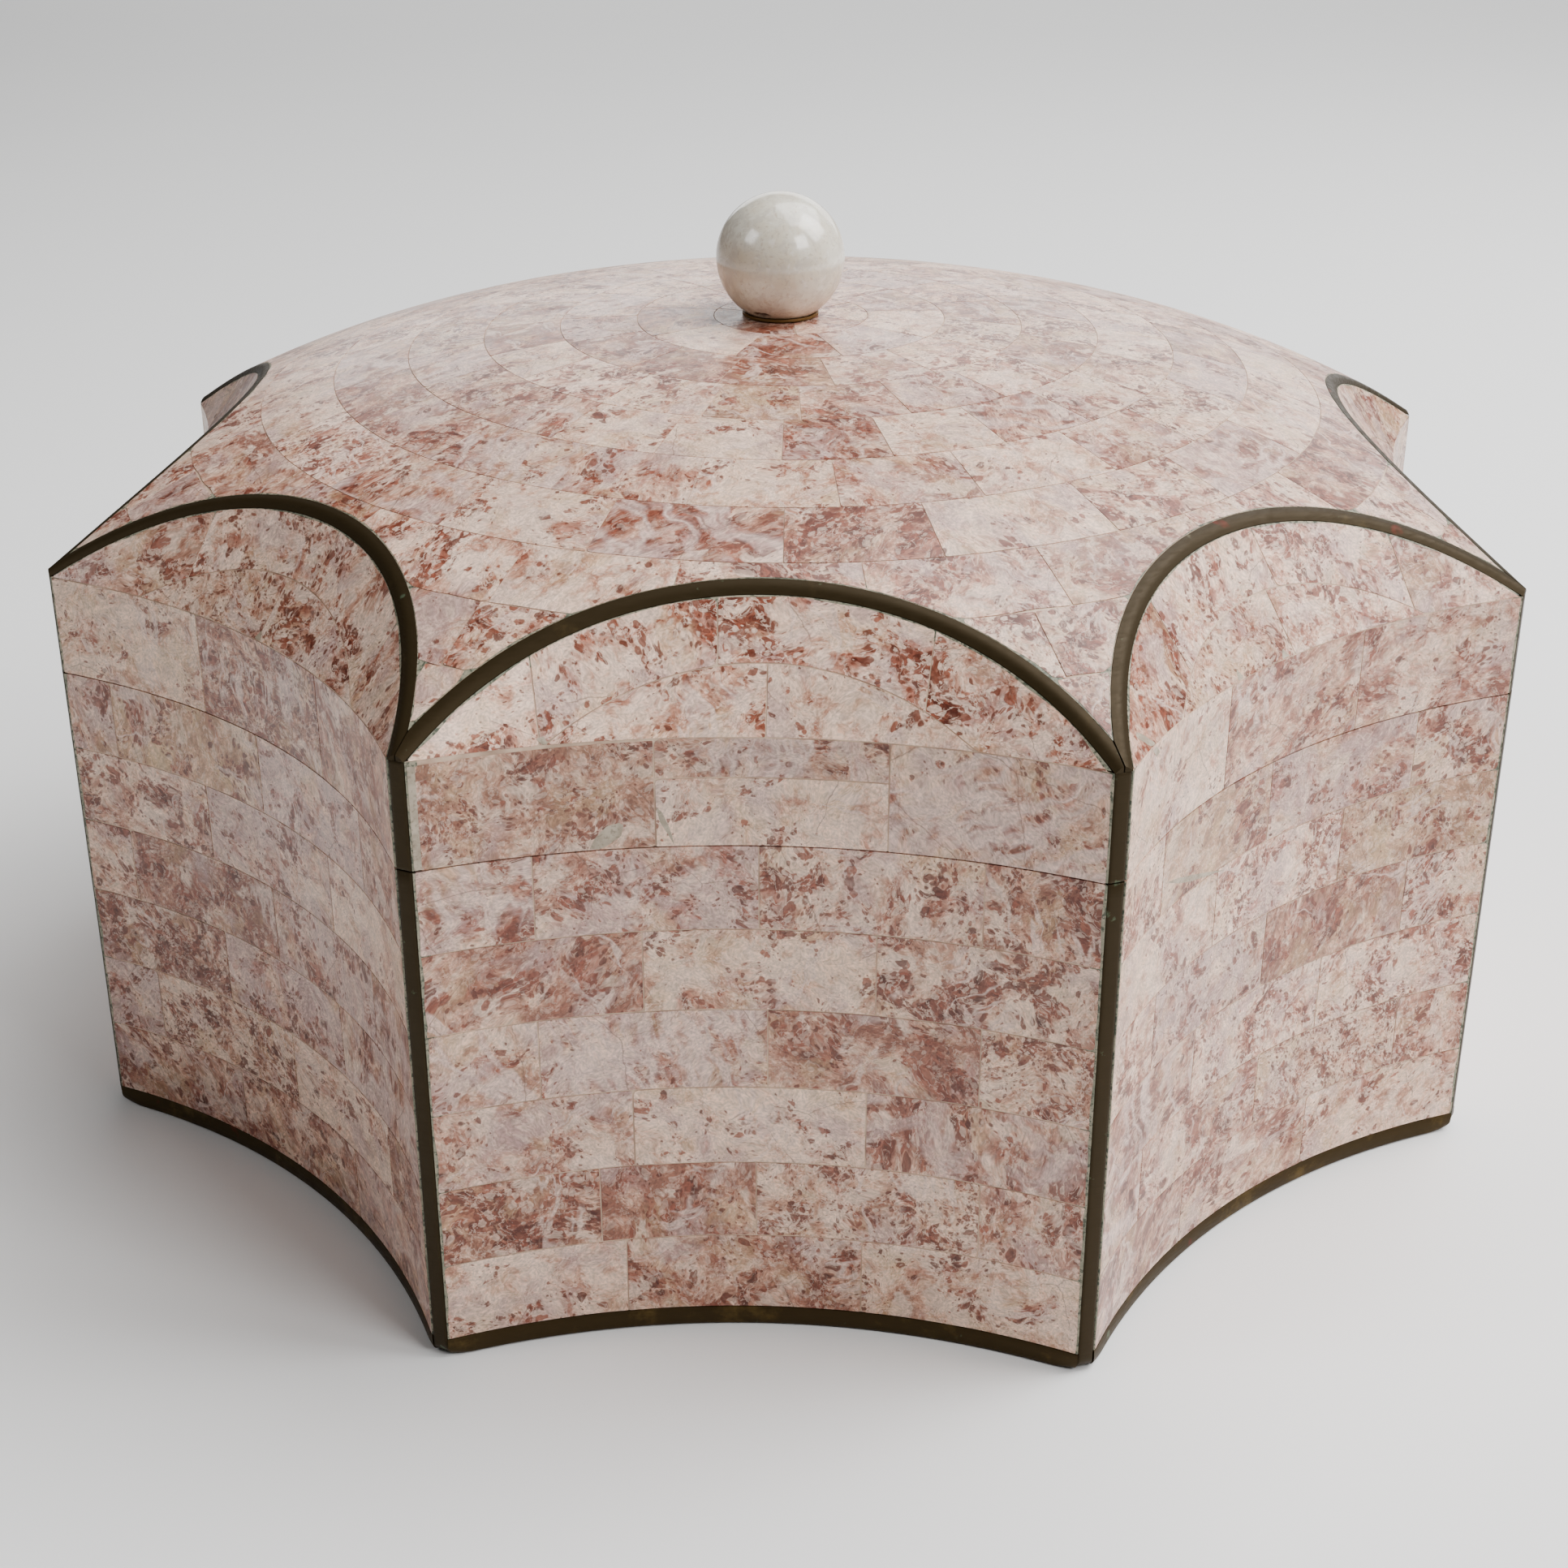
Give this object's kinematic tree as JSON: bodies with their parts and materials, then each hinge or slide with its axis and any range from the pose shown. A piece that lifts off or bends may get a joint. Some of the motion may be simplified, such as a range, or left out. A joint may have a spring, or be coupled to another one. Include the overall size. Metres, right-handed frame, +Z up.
{
  "type": "stone lidded box",
  "caption": "Star-shaped tabletop box of pink stone tiles edged in dark brass, with hollow faces, a domed lift-off lid with arched panels and a pale stone ball finial.",
  "frame": {"origin": "centre of the underside, on the surface that the box stands on", "axes": "+Z up along the box's axis through the ball; -Y out of the middle of the front face; +X to the right seen from the front"},
  "size_m": [0.334, 0.334, 0.2139],
  "materials": {
    "pink_stone": "polished mottled pink and cream marble tiles with fine joints",
    "pale_stone": "polished off-white stone",
    "dark_brass": "dark olive-brown patinated brass, satin"
  },
  "bodies": {
    "root": {"base_body": "pink_stone", "lid_body": "pink_stone", "ball_finial": "pale_stone", "finial_seat": "dark_brass", "base_band_1": "dark_brass", "base_band_2": "dark_brass", "base_band_3": "dark_brass", "base_band_4": "dark_brass", "base_band_5": "dark_brass", "base_band_6": "dark_brass", "base_band_7": "dark_brass", "base_band_8": "dark_brass", "base_corner_strip_1": "dark_brass", "base_corner_strip_2": "dark_brass", "base_corner_strip_3": "dark_brass", "base_corner_strip_4": "dark_brass", "base_corner_strip_5": "dark_brass", "base_corner_strip_6": "dark_brass", "base_corner_strip_7": "dark_brass", "base_corner_strip_8": "dark_brass", "lid_corner_strip_1": "dark_brass", "lid_corner_strip_2": "dark_brass", "lid_corner_strip_3": "dark_brass", "lid_corner_strip_4": "dark_brass", "lid_corner_strip_5": "dark_brass", "lid_corner_strip_6": "dark_brass", "lid_corner_strip_7": "dark_brass", "lid_corner_strip_8": "dark_brass", "arch_strip_1": "dark_brass", "arch_strip_2": "dark_brass", "arch_strip_3": "dark_brass", "arch_strip_4": "dark_brass", "arch_strip_5": "dark_brass", "arch_strip_6": "dark_brass", "arch_strip_7": "dark_brass", "arch_strip_8": "dark_brass"}
  },
  "joints": []
}
